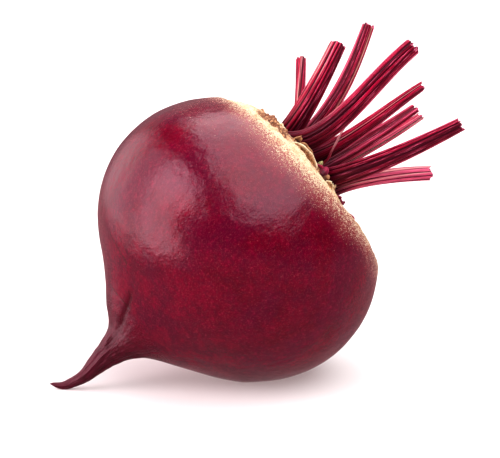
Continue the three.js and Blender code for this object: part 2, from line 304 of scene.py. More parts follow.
class Nodes:
    """Short hand for building a node material."""

    def __init__(self, name):
        self.material = bpy.data.materials.new(name)
        self.material.use_nodes = True
        self.tree = self.material.node_tree
        self.tree.nodes.clear()
        self.out = self.tree.nodes.new("ShaderNodeOutputMaterial")
        self.shader = self.tree.nodes.new("ShaderNodeBsdfPrincipled")
        self.tree.links.new(self.shader.outputs[0], self.out.inputs[0])

    def link(self, source, node, socket):
        if hasattr(source, "is_output"):
            self.tree.links.new(source, node.inputs[socket])
        elif source is not None:
            node.inputs[socket].default_value = source

    def get(self, name, kind="Fac"):
        node = self.tree.nodes.new("ShaderNodeAttribute")
        node.attribute_name = name
        return node.outputs[kind]

    def noise(self, vector, scale, detail, rough=0.55):
        node = self.tree.nodes.new("ShaderNodeTexNoise")
        self.link(vector, node, "Vector")
        node.inputs["Scale"].default_value = scale
        node.inputs["Detail"].default_value = detail
        node.inputs["Roughness"].default_value = rough
        return node.outputs["Fac"]

    def cracks(self, vector, scale):
        """Distance from a net of cracks."""
        node = self.tree.nodes.new("ShaderNodeTexVoronoi")
        node.feature = "DISTANCE_TO_EDGE"
        self.link(vector, node, "Vector")
        node.inputs["Scale"].default_value = scale
        return node.outputs["Distance"]

    def stretch(self, vector, scale, place=(0, 0, 0)):
        node = self.tree.nodes.new("ShaderNodeMapping")
        self.link(vector, node, "Vector")
        node.inputs["Scale"].default_value = scale
        node.inputs["Location"].default_value = place
        return node.outputs[0]

    def math(self, operation, a, b):
        node = self.tree.nodes.new("ShaderNodeMath")
        node.operation = operation
        self.link(a, node, 0)
        self.link(b, node, 1)
        return node.outputs[0]

    def plus(self, a, b):
        return self.math("ADD", a, b)

    def minus(self, a, b):
        return self.math("SUBTRACT", a, b)

    def times(self, a, b):
        return self.math("MULTIPLY", a, b)

    def larger(self, a, b):
        return self.math("MAXIMUM", a, b)

    def total(self, first, *others):
        """Sum of pairs of a value and its share."""
        out = self.times(*first)
        for pair in others:
            out = self.plus(out, self.times(*pair))
        return out

    def ramp(self, value, low, high, to_low=0.0, to_high=1.0):
        """Smooth step of a value."""
        node = self.tree.nodes.new("ShaderNodeMapRange")
        node.interpolation_type = "SMOOTHSTEP"
        self.link(value, node, "Value")
        for socket, number in zip(("From Min", "From Max", "To Min", "To Max"), (low, high, to_low, to_high)):
            node.inputs[socket].default_value = number
        return node.outputs[0]

    def mix(self, share, a, b):
        node = self.tree.nodes.new("ShaderNodeMix")
        node.data_type = "RGBA"
        self.link(share, node, 0)
        for socket, value in ((6, a), (7, b)):
            self.link(value + (1.0,) if isinstance(value, tuple) else value, node, socket)
        return node.outputs[2]

    def bump(self, height, millimetres):
        node = self.tree.nodes.new("ShaderNodeBump")
        node.inputs["Strength"].default_value = 1.0
        node.inputs["Distance"].default_value = millimetres * MM
        self.link(height, node, "Height")
        return node.outputs[0]

    def shine(self, level):
        """Gloss of a level, tinted by the wet red skin."""
        self.shader.inputs["Specular IOR Level"].default_value = level
        self.shader.inputs["Specular Tint"].default_value = SHINE

    def finish(self, base, rough, normal=None):
        self.link(base, self.shader, "Base Color")
        self.link(rough, self.shader, "Roughness")
        self.link(normal, self.shader, "Normal")
        return self.material


def colour(r, g, b):
    """A colour given as it looks on screen, 0 to 255."""
    def linear(v):
        v /= 255
        return v / 12.92 if v <= 0.04045 else ((v + 0.055) / 1.055) ** 2.4
    return (linear(r), linear(g), linear(b))


SKIN_DEEP = colour(82, 1, 23)
SKIN_RED = colour(104, 2, 34)
SKIN_PURPLE = colour(82, 8, 40)
SKIN_LOW_SHADE = colour(104, 4, 36)
SKIN_DUSK = colour(76, 12, 36)
SKIN_FLECK = colour(176, 66, 76)
SKIN_BRIGHT = colour(136, 8, 50)
SKIN_GROOVE_SHADE = colour(62, 0, 17)
CORK_LIGHT = colour(255, 240, 204)
CORK_TAN = colour(206, 150, 106)
CORK_BROWN = colour(122, 70, 42)
# partly the cork's own colour, partly painted highlight between its speckles
CORK_HAZE_AND_HIGHLIGHT = colour(186, 96, 92)
CORK_DUSK = colour(160, 100, 76)
SCAR_DARK = colour(44, 18, 16)
TAPROOT_BROWN = colour(76, 2, 26)
CROWN_RED = colour(112, 18, 40)
SHINE = (1.0, 0.70, 0.78, 1.0)
LEAF_CRIMSON = colour(178, 1, 56)
LEAF_MAROON = colour(58, 0, 22)
LEAF_PINK = colour(232, 104, 140)
LEAF_PALE = colour(240, 186, 180)
LEAF_TAN = colour(214, 156, 140)
BUD_CRIMSON, BUD_CRIMSON_TIP = colour(104, 4, 42), colour(176, 30, 80)
BUD_GREEN, BUD_GREEN_TIP, BUD_GREEN_DARK = colour(150, 148, 96), colour(196, 190, 130), colour(92, 84, 50)
STRAND_RED, STRAND_TIP = colour(170, 14, 60), colour(240, 170, 176)

# Roughness between which each skin varies, height of its relief in millimetres and level of its gloss
SKIN_ROUGHNESS, SKIN_RELIEF, SKIN_GLOSS = (0.08, 0.22), 0.095, 0.45
CORK_ROUGHNESS, TAPROOT_ROUGHER = 0.72, 0.24
STALK_ROUGHNESS, STALK_RELIEF, STALK_GLOSS = (0.34, 0.48), 0.16, 0.22
PAPER_ROUGHNESS, PAPER_RELIEF = (0.55, 0.8), 0.3

# Stripes along the stalks, partly the stalks' own lines and partly painted highlight: attribute, colour,
# thread noise at which they are full, weakest share
STRIPE_TONES = [
    ("pink", LEAF_PINK, 0.60, 0.45), ("pale", LEAF_PALE, 0.55, 0.35), ("tan", LEAF_TAN, 0.55, 0.5)]


def skin_textures(n):
    """Noises in the root's skin, from broad patches to fine grain."""
    place = n.get("place", "Vector")
    return SimpleNamespace(
        place=place,
        broad=n.noise(place, 0.055, 3.0),
        patch=n.noise(place, 0.15, 4.0),
        swell=n.noise(place, 0.42, 2.0, 0.4),
        mottle=n.noise(place, 0.75, 3.0, 0.6),
        grain=n.noise(n.stretch(place, (1, 1, 0.6)), 1.5, 4.0, 0.6),
        fine=n.noise(place, 3.6, 3.0, 0.65))


def red_skin(n, t, taproot):
    """Colour of the bare skin with its patches, flecks, taproot and groove, and painted shade on its lower
    side and in the groove.
    """
    base = n.mix(n.ramp(t.patch, 0.25, 0.75), SKIN_DEEP, SKIN_RED)
    base = n.mix(n.times(n.ramp(t.broad, 0.40, 0.60), 0.75), base, SKIN_PURPLE)
    # painted shade: the skin darkens toward the lower side and the taproot
    low = n.mix(n.ramp(t.patch, 0.40, 0.60), SKIN_DUSK, SKIN_LOW_SHADE)
    base = n.mix(n.times(n.get("lower"), 0.85), base, low)
    base = n.mix(n.times(n.ramp(t.fine, 0.52, 0.34), 0.5), base, SKIN_DEEP)
    base = n.mix(n.times(n.ramp(t.mottle, 0.52, 0.36), 0.45), base, SKIN_DUSK)
    base = n.mix(n.times(n.ramp(t.mottle, 0.54, 0.70), 0.30), base, SKIN_BRIGHT)
    fleck = n.times(n.ramp(t.fine, 0.46, 0.68), n.ramp(t.grain, 0.36, 0.62))
    base = n.mix(n.times(fleck, 0.26), base, SKIN_FLECK)
    base = n.mix(n.times(taproot, 0.8), base, TAPROOT_BROWN)
    streak = n.ramp(n.noise(n.stretch(t.place, (1.1, 1.1, 0.35)), 1.0, 3.0, 0.6), 0.48, 0.62)
    base = n.mix(n.times(n.times(taproot, streak), 0.45), base, SCAR_DARK)
    # painted shade in the groove
    return n.mix(n.times(n.get("groove"), n.ramp(t.grain, 0.3, 0.6, 0.55, 1.0)), base, SKIN_GROOVE_SHADE)


def cork_skin(n, t):
    """Colour of the corky crown: cream and tan grain, brown in its rings and heart, dusky on the far side."""
    grains = n.plus(n.times(t.fine, 0.6), n.times(t.grain, 0.4))
    tan = n.mix(n.ramp(grains, 0.40, 0.60), CORK_TAN, CORK_LIGHT)
    tan = n.mix(n.times(n.ramp(t.grain, 0.58, 0.72), 0.6), tan, CORK_BROWN)
    tan = n.mix(n.times(n.get("rings"), n.ramp(t.grain, 0.36, 0.62, 0.4, 1.0)), tan, CORK_BROWN)
    heart = n.mix(n.ramp(t.swell, 0.50, 0.66), CROWN_RED, CORK_BROWN)
    tan = n.mix(n.times(n.get("inner"), n.ramp(t.fine, 0.3, 0.65, 1.0, 0.75)), tan, heart)
    worn = n.times(n.ramp(t.swell, 0.50, 0.68), n.ramp(t.grain, 0.3, 0.6, 0.25, 0.6))
    tan = n.mix(worn, tan, CORK_TAN)
    return n.mix(n.times(n.get("far"), n.ramp(t.mottle, 0.36, 0.60, 0.25, 0.75)), tan, CORK_DUSK)


def scab_skin(n, t):
    """Colour of the scab beside the stalks, brown and tan with dark cracks."""
    cracked = n.mix(n.ramp(n.cracks(t.place, 0.85), 0.02, 0.20), SCAR_DARK, CORK_TAN)
    return n.mix(n.ramp(t.grain, 0.42, 0.60), cracked, CORK_BROWN)


def skin_material():
    n = Nodes("beet_skin")
    t = skin_textures(n)
    cork, taproot = n.get("cork"), n.get("taproot")
    # the cork thins out into speckles, with a pink haze of its colour between them that is partly painted
    # highlight
    speckle = n.plus(t.fine, n.times(t.grain, 0.4))
    corky = n.ramp(n.plus(cork, n.times(n.minus(speckle, 0.7), 2.4)), 0.42, 0.85)
    scab = n.ramp(n.plus(n.get("scar"), n.times(n.minus(t.grain, 0.5), 1.3)), 0.35, 0.65)
    crease = n.ramp(n.get("crease"), 0.42, 0.10)
    base = n.mix(n.times(n.ramp(cork, 0.0, 0.75), 0.6), red_skin(n, t, taproot), CORK_HAZE_AND_HIGHLIGHT)
    base = n.mix(corky, base, cork_skin(n, t))
    base = n.mix(scab, base, scab_skin(n, t))
    # painted shade along the creases
    base = n.mix(n.times(crease, 0.45), base, SCAR_DARK)
    rough = n.ramp(t.fine, 0.3, 0.7, *SKIN_ROUGHNESS)
    rough = n.larger(rough, n.times(n.larger(corky, scab), CORK_ROUGHNESS))
    rough = n.plus(rough, n.times(taproot, TAPROOT_ROUGHER))
    relief = n.total(
        (t.grain, 0.8), (t.fine, 0.25), (t.swell, 1.3), (n.times(t.fine, corky), 2.0),
        (n.times(t.grain, taproot), 1.6), (crease, -0.35))
    n.shine(SKIN_GLOSS)
    return n.finish(base, rough, n.bump(relief, SKIN_RELIEF))


def stalk_material(name):
    """Ribbed stalk skin: crimson, with painted shade in the furrows and at the foot, and pale lines along
    some ribs that are partly painted highlight.
    """
    n = Nodes(name)
    run = n.get("run", "Vector")
    streak = n.noise(n.stretch(run, (3.2, 3.2, 0.10)), 1.0, 3.0)
    thread = n.noise(n.stretch(run, (11.0, 11.0, 0.16), (3, 0, 7)), 1.0, 3.0, 0.6)
    fine = n.noise(n.get("place", "Vector"), 3.0, 3.0, 0.6)
    rib = n.get("rib")
    red = n.mix(n.ramp(streak, 0.34, 0.62), n.mix(0.5, LEAF_CRIMSON, LEAF_MAROON), LEAF_CRIMSON)
    # dark stripes: partly the stalk's own maroon, partly painted shade
    red = n.mix(n.get("dark"), red, LEAF_MAROON)
    # painted shade in the fine furrows of the thread relief
    red = n.mix(n.times(n.ramp(thread, 0.48, 0.34), 0.75), red, LEAF_MAROON)
    # pink, pale and tan stripes; the pink and pale ones are partly painted highlight
    for tone, tint, full, weakest in STRIPE_TONES:
        red = n.mix(n.times(n.get(tone), n.ramp(thread, 0.30, full, weakest, 1.0)), red, tint)
    # pink lines on the rib tops: partly painted highlight
    line = n.times(n.ramp(thread, 0.55, 0.66), n.ramp(rib, 0.45, 0.9))
    red = n.mix(n.times(line, 0.7), red, LEAF_PINK)
    # painted shade in the furrows between the ribs
    red = n.mix(n.ramp(rib, 0.8, 0.25), red, LEAF_MAROON)
    # painted shade at the foot of the stalk, where the stalks crowd together
    red = n.mix(n.times(n.get("base"), n.ramp(streak, 0.30, 0.65, 0.95, 0.7)), red, LEAF_MAROON)
    inside = n.mix(n.ramp(fine, 0.4, 0.6), LEAF_MAROON, LEAF_PINK)
    red = n.mix(n.ramp(n.get("end"), 0.2, 0.9), red, inside)
    relief = n.total((thread, 0.9), (fine, 0.25))
    n.shine(STALK_GLOSS)
    return n.finish(red, n.ramp(fine, 0.3, 0.7, *STALK_ROUGHNESS), n.bump(relief, STALK_RELIEF))


def paper_material(name, base, tip, dark):
    """Withered leaf base: base colour, its edge and tip lighter, the furrows darker."""
    n = Nodes(name)
    grain = n.noise(n.get("place", "Vector"), 1.5, 4.0, 0.6)
    fibre = n.noise(n.stretch(n.get("run", "Vector"), (2.4, 0.35, 1.0)), 1.0, 3.0, 0.6)
    tone = n.mix(n.ramp(grain, 0.36, 0.62), dark, base)
    tone = n.mix(n.ramp(fibre, 0.5, 0.66), tone, dark)
    tone = n.mix(n.times(n.get("tip"), n.ramp(fibre, 0.35, 0.6, 0.4, 1.0)), tone, tip)
    relief = n.plus(fibre, n.times(grain, 0.5))
    return n.finish(tone, n.ramp(grain, 0.3, 0.7, *PAPER_ROUGHNESS), n.bump(relief, PAPER_RELIEF))


# The root

ROOT_SIDES = 344
ROOT_ROWS = 286
OUTLINE_SAMPLES = 6000
# Rows are this much closer on the crown above a height and at the tip below another
CROWN_ROWS_ABOVE, CROWN_ROWS_CLOSER = 18, 1.7
TIP_ROWS_BELOW, TIP_ROWS_CLOSER = -45, 1.25
# The last rows narrow to the tip, which stands out by a share of the way from the sixth last row
TIP_NARROWS = [0.95, 0.85, 0.7, 0.5]
TIP_LENGTH = 0.15

# Noises of the skin: size in millimetres, octaves, seed
SLOW_NOISE, QUICK_NOISE, TINY_NOISE = (13.0, 3, 3.1), (3.2, 3, 8.7), (1.1, 2, 5.3)
# Relief in millimetres for each of those noises, and how far scab and fringe rise in all
GLOBE_LUMPS, CROWN_LUMPS = (0.20, 0.03, 0.0), (0.30, 0.40, 0.12)
SCAB_RISE, SCAB_LUMPS = 0.5, (0.0, 1.4, 0.6)
FRINGE_RISE, FRINGE_LUMPS = 0.3, (0.0, 0.8, 0.4)
# Long ridges on the taproot: how close round it and along it, their noise, depth and grain
RIDGES_ROUND, RIDGES_ALONG, RIDGE_NOISE = 2.4, 0.11, (1.0, 3, 2.2)
RIDGE_DEPTH, RIDGE_GRAIN = 0.17, 0.18

# Where the cork ends and how softly; dents in that edge: turn, how deep, reach round the axis
CORK_EDGE, CORK_SPREAD, CORK_WANDER = 37.9, 9.0, 1.2
CORK_DENTS = [(0.0, 1.8, 0.5), (1.9, 1.3, 0.6), (4.0, 3.5, 1.2)]
CORK_LEAST, CORK_MOST = -0.15, 1.3
# A thin haze of cork down the top side: strength, height, turn and reach round the axis
PATINA, PATINA_HEIGHT, PATINA_TURN, PATINA_AROUND = 0.30, 19, 0.1, 0.6
# The far side of the crown, which is browner: turn and reach round the axis
FAR_TURN, FAR_AROUND = 4.0, 1.35

# Thin creases in the skin, sunk and darkened along their lines with painted shade, as lines of [turn in
# degrees, height on the axis]
CREASES = [
    [(-13, -26.4), (8, -29.2), (26, -31.9)],
    [(-4, -38.3), (12, -39.3), (38, -39.9)],
]
# The groove that runs into the taproot, its depth, its width and how wide the painted shade in it spreads
GROOVE = [(34, -37.5), (31, -43.9), (32, -48.7), (38.6, -51.6)]
GROOVE_DEPTH, GROOVE_WIDTH, GROOVE_SHADE = 0.45, 1.0, 1.5
# The scab beside the stalks: turn and reach round the axis, distance from it and reach outward
SCAB_TURN, SCAB_AROUND, SCAB_OUT, SCAB_ACROSS = math.radians(29), math.radians(17), 28.0, 4.6
# The brown fringe where the cork ends beside the stalks, given in the same way
FRINGE_TURN, FRINGE_AROUND, FRINGE_OUT, FRINGE_ACROSS = math.radians(60), math.radians(26), 22.6, 1.5


def line_distance(line, angle, r, z):
    """Distance over the skin from a line of [turn in degrees, height]."""
    best = np.full(angle.shape, 9.0)
    for (a0, z0), (a1, z1) in zip(line, line[1:]):
        u0, u1 = math.radians(a0), math.radians(a1)
        px, py = (u1 - u0) * r, z1 - z0
        du = ((angle - u0 + math.pi) % TAU - math.pi) * r
        dz = z - z0
        t = np.clip((du * px + dz * py) / (px * px + py * py + 1e-9), 0, 1)
        best = np.minimum(best, np.hypot(du - t * px, dz - t * py))
    return best


def root_rows():
    """Radius and height of every row of points on the root."""
    t = np.linspace(0, 1, OUTLINE_SAMPLES)
    curve = spline(OUTLINE, t)
    steps = np.hypot(*np.diff(curve, axis=0).T)
    height = curve[1:, 1]
    closer = np.where(height > CROWN_ROWS_ABOVE, CROWN_ROWS_CLOSER, 1.0)
    closer = closer * np.where(height < TIP_ROWS_BELOW, TIP_ROWS_CLOSER, 1.0)
    length = np.concatenate([[0], np.cumsum(steps * closer)])
    picks = np.interp(np.linspace(0, 1, ROOT_ROWS + 1)[1:] * length[-1], length, t)
    return spline(OUTLINE, picks).T


def cork_amount(angle, r, z, slow):
    """How corky the skin is: full on the crown, fading out unevenly at its edge."""
    edge = CORK_EDGE + CORK_WANDER * slow
    for turn, deep, around in CORK_DENTS:
        edge = edge - deep * bump(apart(angle, turn), around)
    cork = np.clip(0.6 + (edge - r) / CORK_SPREAD, CORK_LEAST, CORK_MOST)
    patina = PATINA * (1 - ease(6, 16, np.abs(z - PATINA_HEIGHT)))
    patina = patina * bump(apart(angle, PATINA_TURN), PATINA_AROUND)
    return np.where(z < 0, CORK_LEAST, np.maximum(cork, patina + CORK_LEAST))


def make_root():
    angle = np.broadcast_to(np.arange(ROOT_SIDES) * TAU / ROOT_SIDES, (ROOT_ROWS, ROOT_SIDES))
    r, z = [np.broadcast_to(row[:, None], angle.shape) for row in root_rows()]
    plain = root_point(angle, r, z)
    noises = [fractal(plain, *kind) for kind in (SLOW_NOISE, QUICK_NOISE, TINY_NOISE)]
    slow, quick, _ = noises
    around = np.stack([np.cos(angle) * RIDGES_ROUND, np.sin(angle) * RIDGES_ROUND, z * RIDGES_ALONG], -1)
    ridges = RIDGE_DEPTH * np.sqrt(np.clip(r, 0, 16)) * fractal(around, *RIDGE_NOISE)

    def lumps(heights):
        return sum(height * noise_field for height, noise_field in zip(heights, noises))

    under = (z < 0) * 1.0
    over = 1 - under
    scab = bump(apart(angle, SCAB_TURN), SCAB_AROUND) * bump(r - SCAB_OUT, SCAB_ACROSS) * over
    fringe = bump(r - FRINGE_OUT, FRINGE_ACROSS) * over
    fringe = fringe * bump(apart(angle, FRINGE_TURN), FRINGE_AROUND) ** 0.5
    groove = line_distance(GROOVE, angle, r, z)
    thin = (1 - ease(6, 17, r)) * under
    crown = over * (1 - ease(33, 39, r)) * ease(2, 10, r)
    extra = ease(3, 16, r) * lumps(GLOBE_LUMPS) + thin * (ridges + RIDGE_GRAIN * quick)
    extra = extra - GROOVE_DEPTH * bump(groove, GROOVE_WIDTH)
    lift = crown * lumps(CROWN_LUMPS)
    lift = lift + scab * (SCAB_RISE + lumps(SCAB_LUMPS)) + fringe * (FRINGE_RISE + lumps(FRINGE_LUMPS))
    points = root_point(angle, r, z, extra, lift)
    tip = points[-1].mean(0)
    points[-4:] = tip + (points[-4:] - tip) * np.array(TIP_NARROWS)[:, None, None]
    ends = [[0, 0, OUTLINE[0][1]], tip + (tip - points[-6].mean(0)) * TIP_LENGTH]
    places = np.concatenate([points.reshape(-1, 3), ends])
    vertices = laid(places)
    vertices[:, 2] = np.maximum(vertices[:, 2], 0.0)
    faces = grid_faces(ROOT_ROWS, ROOT_SIDES)
    thing = mesh_object("beet_root", vertices, faces, skin_material())
    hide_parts("root")

    def keep(name, values, top, bottom):
        attribute(thing, name, np.concatenate([np.broadcast_to(values, angle.shape).ravel(), [top, bottom]]))

    vector_attribute(thing, "place", places)
    keep("cork", cork_amount(angle, r, z, slow), CORK_MOST, CORK_LEAST)
    keep("inner", (1 - ease(17, 24.5, r + 1.2 * quick)) * over, 1, 0)
    keep("rings", ring_shade(angle, r, z), 0, 0)
    keep("far", bump(apart(angle, FAR_TURN), FAR_AROUND) * over, 0, 0)
    keep("scar", np.maximum(scab * 1.15, fringe), 0, 0)
    keep("taproot", (1 - ease(4, 19, r)) * under, 0, 1)
    # painted shade: how far the skin darkens toward the lower side
    keep("lower", ease(-12, -42, z), 0, 1)
    # painted shade along the groove
    keep("groove", bump(groove, GROOVE_SHADE), 0, 0)
    # distance from the creases, which sets their relief and their painted shade
    creases = np.minimum(*[line_distance(crease, angle, r, z) for crease in CREASES])
    keep("crease", creases + 0.12 * quick, 9, 9)


# Withered leaf bases on the crown

FLAKE_ROWS, FLAKE_UP, FLAKE_SUNK, FLAKE_CREASE = 44, 12, 0.9, 0.35
BUD_ROWS, BUD_SIDES, BUD_SUNK, BUD_ROUGH = 26, 36, 0.8, 0.05
# Ribs round a bud: how many and how deep
BUD_RIBS = [(3, 0.10), (5, 0.09), (8, 0.05)]
STRAND_ROWS, STRAND_SIDES, STRAND_RADIUS = 70, 20, 0.42
# How far the fibres run along strips and strand, and how many stand round a bud or strand
FIBRE_RUN, FIBRES_ROUND = 12, 3


def crown_place(turn, distance):
    """A place on the crown: turn in degrees and distance from the axis."""
    x, y = distance * math.cos(math.radians(turn)), distance * math.sin(math.radians(turn))
    return np.array([x, y, crown_height(x, y)])


def crown_piece(name, points, faces, material, run, tip):
    """A piece on the crown, with the places, fibres and tip that its material reads."""
    thing = mesh_object(name, laid(points), faces, material)
    vector_attribute(thing, "place", points)
    vector_attribute(thing, "run", run)
    attribute(thing, "tip", tip)


def flake(name, path, material, seed, height, lean, curl=30, thick=0.9, shape=0.8, jag=0.22):
    """A papery strip standing on the crown along a path of [turn in degrees, distance from the axis].

    It leans out by so many degrees at its foot and curls by more toward its edge, which is jagged.
    """
    rng = random.Random(seed)
    u = np.linspace(0, 1, FLAKE_ROWS)
    v = np.linspace(0, 1, FLAKE_UP)
    foot = spline([crown_place(*place) for place in path], u) - FLAKE_SUNK * Z_WAY
    forward = unit(np.gradient(foot, axis=0))
    out = np.stack([forward[:, 1], -forward[:, 0], np.zeros(FLAKE_ROWS)], 1)
    out = unit(out * np.sign((out * foot).sum(1, keepdims=True)))
    teeth = spline([[rng.uniform(1 - jag, 1.0)] for _ in range(9)], u)[:, 0]
    crease = spline([[rng.uniform(-1, 1)] for _ in range(8)], u)[:, 0]
    tall = (height + FLAKE_SUNK) * np.sin(math.pi * np.clip(u, 0.02, 0.98)) ** shape * teeth
    tilt = math.radians(lean) + math.radians(curl) * v
    step_out = np.concatenate([[0], np.cumsum(np.sin(tilt[1:]))]) / (FLAKE_UP - 1)
    step_up = np.concatenate([[0], np.cumsum(np.cos(tilt[1:]))]) / (FLAKE_UP - 1)
    shift = tall[:, None] * step_out + FLAKE_CREASE * crease[:, None] * v
    middle = foot[:, None] + out[:, None] * shift[..., None] + Z_WAY * (tall[:, None] * step_up)[..., None]
    half = 0.5 * thick * (1 - 0.55 * v) * (0.9 + 0.2 * np.sin(9 * u)[:, None])
    offset = (out[:, None] * np.cos(tilt)[:, None] - Z_WAY * np.sin(tilt)[:, None]) * half[..., None]
    loop = np.concatenate([middle + offset, (middle - offset)[:, ::-1]], 1)
    points = np.concatenate([loop.reshape(-1, 3), [loop[0].mean(0), loop[-1].mean(0)]])
    faces = [face[:1] + face[:0:-1] for face in grid_faces(FLAKE_ROWS, 2 * FLAKE_UP)]
    along = np.concatenate([np.repeat(u * FIBRE_RUN, 2 * FLAKE_UP), [0, FIBRE_RUN]])
    up = np.concatenate([np.tile(np.concatenate([v, v[::-1]]), FLAKE_ROWS), [0, 0]])
    run = np.stack([along, up * height, np.full_like(along, seed * 3.7)], 1)
    crown_piece(name, points, faces, material, run, ease(0.55, 1.0, up))


def round_piece(name, body, ends, material, t, length, tips):
    """A closed round piece on the crown, from its rings of points at shares t of its length."""
    rows, sides = body.shape[:2]
    points = np.concatenate([body.reshape(-1, 3), ends])
    faces = [face[::-1] for face in grid_faces(rows, sides)]
    a = np.arange(sides) * TAU / sides
    x, y = np.cos(a) * FIBRES_ROUND, np.sin(a) * FIBRES_ROUND
    run = np.stack([np.tile(x, rows), np.repeat(t * length, sides), np.tile(y, rows)], 1)
    run = np.concatenate([run, [[0, 0, 0], [0, length, 0]]])
    crown_piece(name, points, faces, material, run, np.concatenate([np.repeat(tips, sides), [0, 1]]))


def bud(name, place, material, seed, height, width, lean, toward, blunt=0.6):
    """A stub or bud at a [turn, distance]: a pointed, ribbed knob that leans over toward a turn."""
    rng = random.Random(seed)
    t = np.linspace(0.03, 0.985, BUD_ROWS)
    a = np.arange(BUD_SIDES) * TAU / BUD_SIDES
    ribs = 1 + sum(deep * np.cos(count * a + rng.uniform(0, TAU)) for count, deep in BUD_RIBS)
    reach = 0.5 * width * (np.sin(math.pi * (0.30 + 0.68 * t)) ** blunt)[:, None] * ribs
    tilt = math.radians(lean) * t
    steps = np.diff(t) * (height + BUD_SUNK)
    out = np.concatenate([[0], np.cumsum(np.sin(tilt[1:]) * steps)])
    up = np.concatenate([[0], np.cumsum(np.cos(tilt[1:]) * steps)])
    direction = math.radians(toward)
    ahead = np.array([math.cos(direction), math.sin(direction), 0])
    side = np.array([[-math.sin(direction), math.cos(direction), 0]])
    centre = crown_place(*place) + out[:, None] * ahead + (up[:, None] - BUD_SUNK) * Z_WAY
    spread = np.cos(tilt)[:, None] * ahead - np.sin(tilt)[:, None] * Z_WAY
    body = swept(centre, spread, side, reach * np.cos(a), reach * np.sin(a))
    body += np.array([rng.uniform(-BUD_ROUGH, BUD_ROUGH) for _ in range(body.size)]).reshape(body.shape)
    ends = [centre[0], centre[-1] + (centre[-1] - centre[-2]) * 0.6]
    round_piece(name, body, ends, material, t, height, ease(0.55, 0.95, t))


# A thin strand that rises in front of the stalks out of the lowest big one
STRAND = [(2.9, 10.0, 31.5), (3.4, 11.8, 33.4), (4.0, 12.8, 35.0), (5.15, 13, 37.3), (6.1, 13.2, 39.9),
          (7.3, 13.4, 42.7), (7.8, 13.5, 44.8), (8.45, 13.5, 46.8)]


def make_strand(material):
    t = np.linspace(0, 1, STRAND_ROWS)
    a = np.arange(STRAND_SIDES) * TAU / STRAND_SIDES
    centre = spline(STRAND, t)
    along = unit(np.gradient(centre, axis=0))
    across = unit(np.cross(along, [0, 1.0, 0]))
    reach = STRAND_RADIUS * (1 - 0.45 * t)[:, None] * (1 + 0.12 * np.sin(3 * a + 2))
    body = swept(centre, across, np.cross(along, across), reach * np.cos(a), reach * np.sin(a))
    round_piece("crown_strand", body, centre[[0, -1]], material, t, FIBRE_RUN, ease(0.3, 0.6, t))


# Leaf bases stand where the CAD model has them, each turned on from the last and farther out
SCALE_COUNT, LEAF_TURN, SCALE_RING, SCALE_RING_STEP = 16, 137.5, 17.5, 0.28
# Least width, height and lean of a leaf base, and how much more each can be
SCALE_WIDTH, SCALE_HEIGHT, SCALE_LEAN = (3.5, 2.5), (1.6, 2.2), (0.25, 0.5)
# The crown's hidden side, where they are larger, and its top side, where they are lower: turn and reach
HIDDEN_TURN, HIDDEN_AROUND, TOP_TURN, TOP_AROUND = 235, 95, 10, 40
# Smaller ones inside that ring: how many, first turn, step, half width, distance and height
INNER_COUNT, INNER_START, INNER_STEP, INNER_HALF = 9, 128, 24, 9
INNER_DISTANCE, INNER_HEIGHT = (12.2, 2.6), (1.8, 2.0)


def draw(n):
    """A repeatable number from 0 to 1 for a whole number, as in the CAD model."""
    value = math.sin(n * 127.1 + 11.7) * 43758.5453
    return value - math.floor(value)


def drawn(span, n):
    """A least value plus a drawn share of what can be added."""
    return span[0] + span[1] * draw(n)


def wrapped(degrees):
    """Degrees brought to between -180 and 180."""
    return (degrees + 180) % 360 - 180


def make_leaf_bases(papery, brown, crimson):
    for n in range(SCALE_COUNT):
        turn, distance = n * LEAF_TURN, SCALE_RING + SCALE_RING_STEP * n
        hidden = math.exp(-(wrapped(turn - HIDDEN_TURN) / HIDDEN_AROUND) ** 4)
        top = math.exp(-(wrapped(turn - TOP_TURN) / TOP_AROUND) ** 2)
        width = drawn(SCALE_WIDTH, n) * (1 + 0.9 * hidden)
        tall = drawn(SCALE_HEIGHT, n + 40) * (1 + 0.7 * hidden) * (1 - 0.45 * top)
        half = math.degrees(width / distance) * 0.75
        path = [(turn - half, distance + 0.9), (turn, distance), (turn + half, distance + 0.9)]
        kind = (papery, brown, crimson, crimson)[n % 4]
        flake("leaf_base_%d" % (n + 1), path, kind, 40 + n, tall, math.degrees(drawn(SCALE_LEAN, n + 120)))
    for n in range(INNER_COUNT):
        turn, distance = INNER_START + INNER_STEP * n, drawn(INNER_DISTANCE, n + 200)
        path = [(turn - INNER_HALF, distance + 0.7), (turn, distance), (turn + INNER_HALF, distance + 0.7)]
        kind = (crimson, crimson, brown)[n % 3]
        flake("leaf_base_inner_%d" % (n + 1), path, kind, 80 + n, drawn(INNER_HEIGHT, n + 230), 22, jag=0.25)


